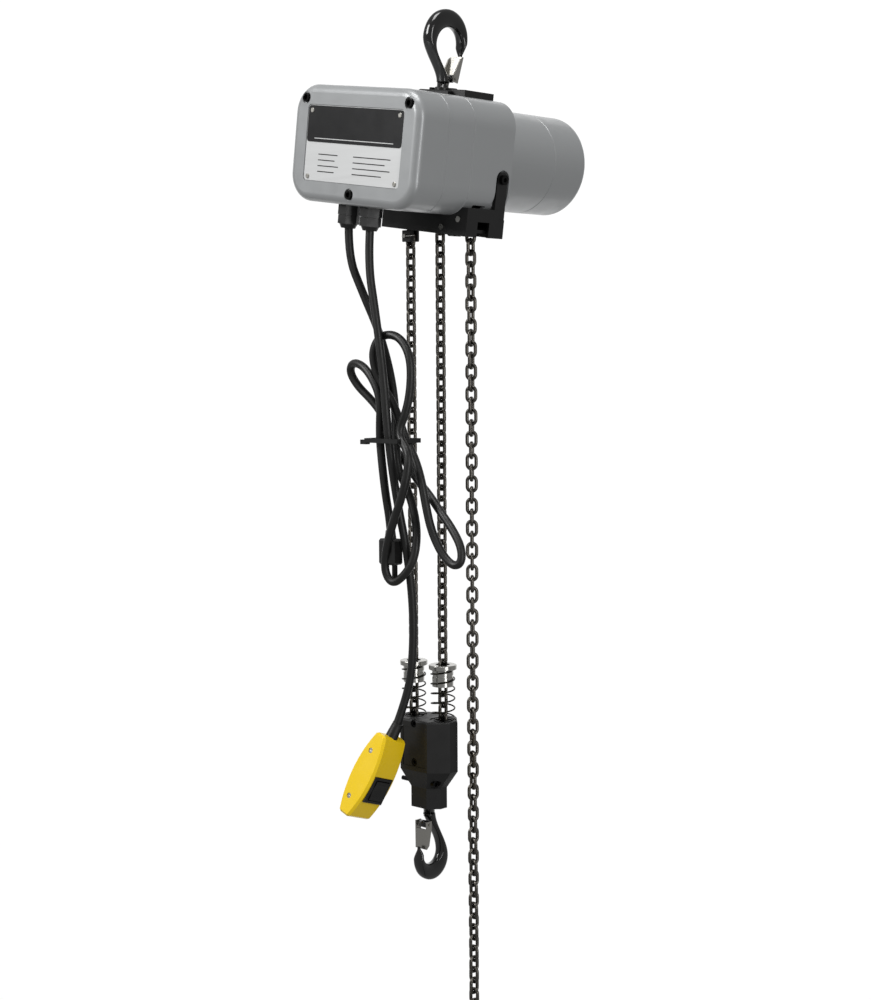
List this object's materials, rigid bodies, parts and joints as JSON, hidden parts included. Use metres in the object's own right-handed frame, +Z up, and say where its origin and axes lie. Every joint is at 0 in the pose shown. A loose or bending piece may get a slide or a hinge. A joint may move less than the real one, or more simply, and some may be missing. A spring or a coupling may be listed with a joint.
{
  "type": "electric chain hoist",
  "caption": "Small electric chain hoist: leaning grey case with motor, top hook, chain falls to a sprung hook block, a slack fall, push-button pendant and a tied hank of power cord",
  "frame": {"origin": "the top hook's bearing point, at the crown of its bowl", "axes": "+Z up along the chain falls, +Y from the front cover to the motor, +X to the right seen from the front cover"},
  "size_m": [0.219, 0.3192, 1.1402],
  "materials": {
    "case_grey": "satin",
    "nameplate": "satin",
    "bright_steel": "satin",
    "black_screw": "satin",
    "black_metal": "satin",
    "black_gloss": "gloss",
    "chain_steel": "satin",
    "machine_steel": "satin",
    "sheave_iron": "satin",
    "gland_plastic": "matte",
    "pendant_yellow": "satin",
    "cord_rubber": "matte"
  },
  "bodies": {
    "hook": {"top_hook": "black_gloss", "top_hook_nut": "machine_steel", "top_latch_pin": "bright_steel"},
    "top_latch": {"top_latch": "bright_steel"},
    "case": {"anchor_pins": "bright_steel", "bottom_bracket": "black_metal", "case_screws": "black_screw", "chain_anchor": "black_metal", "chain_dead_fall": "chain_steel", "chain_guide": "sheave_iron", "chain_live_fall": "chain_steel", "chain_slack_fall": "chain_steel", "control_board": "gland_plastic", "cord_glands": "gland_plastic", "cord_tie": "gland_plastic", "front_cover": "case_grey", "gear_housing": "case_grey", "limit_pins": "bright_steel", "motor_end_cap": "case_grey", "motor_shell": "case_grey", "nameplate": "nameplate", "nameplate_rivets": "bright_steel", "pendant_cord": "cord_rubber", "pendant_left_shell": "pendant_yellow", "pendant_right_shell": "pendant_yellow", "pendant_screws": "bright_steel", "plug": "cord_rubber", "power_cord": "cord_rubber", "power_cord_hank": "cord_rubber", "rear_housing": "case_grey", "shaft_bearings": "bright_steel", "stator": "machine_steel", "strain_relief": "cord_rubber", "suspension_plate": "black_metal", "switch_frame": "gland_plastic"},
    "rotor": {"motor_shaft": "machine_steel", "rotor": "machine_steel"},
    "layshaft": {"layshaft": "machine_steel", "layshaft_gear": "machine_steel"},
    "load_wheel": {"output_gear": "machine_steel", "sheave_shaft": "machine_steel", "load_sheave": "sheave_iron", "chain_on_load_sheave": "chain_steel"},
    "limit_lever": {"limit_lever": "black_metal"},
    "tail_end": {"chain_end_stop": "cord_rubber"},
    "block": {"block_front_half": "black_metal", "block_rear_half": "black_metal", "block_screws": "black_screw", "idler_axle": "machine_steel", "spring_dead_fall": "black_screw", "spring_live_fall": "black_screw"},
    "idler": {"idler_sheave": "sheave_iron", "chain_on_idler_sheave": "chain_steel"},
    "bottom_hook": {"bottom_hook": "black_gloss", "bottom_hook_nut": "machine_steel", "bottom_latch_pin": "bright_steel"},
    "bottom_latch": {"bottom_latch": "bright_steel"},
    "collar_dead": {"collar_dead_fall": "bright_steel"},
    "collar_live": {"collar_live_fall": "bright_steel"},
    "rocker": {"rocker_switch": "gland_plastic"}
  },
  "joints": [
    {"name": "case_swivel", "type": "hinge", "parent": "hook", "child": "case", "pos_m": [0, 0, 0], "axis": [0.1409, 0, 0.99], "continuous": true},
    {"name": "top_latch_hinge", "type": "hinge", "parent": "hook", "child": "top_latch", "pos_m": [-0.00733, 0.009, -0.05148], "axis": [0.99, 0, -0.1409], "range_deg": [0, 40], "stiffness_Nm_per_rad": 0.02, "springref_deg": -17.19},
    {"name": "block_lift", "type": "slide", "parent": "case", "child": "block", "axis": [0, 0, 1], "range_m": [-0.15, 0.4], "deforming": ["chain_live_fall", "chain_dead_fall"]},
    {"name": "tail_slide", "type": "slide", "parent": "case", "child": "tail_end", "axis": [0, 0, 1], "range_m": [-0.81, 0.31], "deforming": ["chain_slack_fall"]},
    {"name": "idler_spin", "type": "hinge", "parent": "block", "child": "idler", "pos_m": [-0.03628, 0, -0.7846], "axis": [0, 1, 0], "range_deg": [-1036, 396]},
    {"name": "load_wheel_spin", "type": "hinge", "parent": "case", "child": "load_wheel", "pos_m": [0.0085, 0, -0.1366], "axis": [0, 1, 0], "range_deg": [-780, 2059]},
    {"name": "layshaft_spin", "type": "hinge", "parent": "case", "child": "layshaft", "pos_m": [-0.01825, 0, -0.10619], "axis": [0, 1, 0], "range_deg": [-7177, 2699]},
    {"name": "rotor_spin", "type": "hinge", "parent": "case", "child": "rotor", "pos_m": [-0.03909, 0, -0.12777], "axis": [0, 1, 0], "range_deg": [-10759, 28670]},
    {"name": "hook_swivel", "type": "hinge", "parent": "block", "child": "bottom_hook", "pos_m": [-0.03628, 0, -0.85], "axis": [0, 0, 1], "continuous": true},
    {"name": "bottom_latch_hinge", "type": "hinge", "parent": "bottom_hook", "child": "bottom_latch", "pos_m": [-0.03628, -0.0086, -0.8663], "axis": [1, 0, 0], "range_deg": [0, 30], "stiffness_Nm_per_rad": 0.02, "springref_deg": -17.19},
    {"name": "collar_dead_slide", "type": "slide", "parent": "block", "child": "collar_dead", "axis": [0, 0, -1], "range_m": [0, 0.025], "stiffness_N_per_m": 400, "springref_m": -0.01, "deforming": ["spring_dead_fall"]},
    {"name": "collar_live_slide", "type": "slide", "parent": "block", "child": "collar_live", "axis": [0, 0, -1], "range_m": [0, 0.025], "stiffness_N_per_m": 400, "springref_m": -0.01, "deforming": ["spring_live_fall"]},
    {"name": "limit_lever_hinge", "type": "hinge", "parent": "case", "child": "limit_lever", "pos_m": [0.01045, 0, -0.21118], "axis": [0, 1, 0], "range_deg": [-5, 5], "stiffness_Nm_per_rad": 0.5},
    {"name": "rocker_hinge", "type": "hinge", "parent": "case", "child": "rocker", "pos_m": [-0.04769, -0.07166, -0.8178], "axis": [-0.0506, 0.9512, -0.3045], "range_deg": [-7, 7], "stiffness_Nm_per_rad": 0.05}
  ],
  "couplings": [
    {"joint": "tail_slide", "follows": "block_lift", "ratio": -2},
    {"joint": "idler_spin", "follows": "block_lift", "rad_per_m": -44.658},
    {"joint": "load_wheel_spin", "follows": "block_lift", "rad_per_m": 89.316},
    {"joint": "layshaft_spin", "follows": "block_lift", "rad_per_m": -312.61},
    {"joint": "rotor_spin", "follows": "block_lift", "rad_per_m": 1250.4}
  ]
}
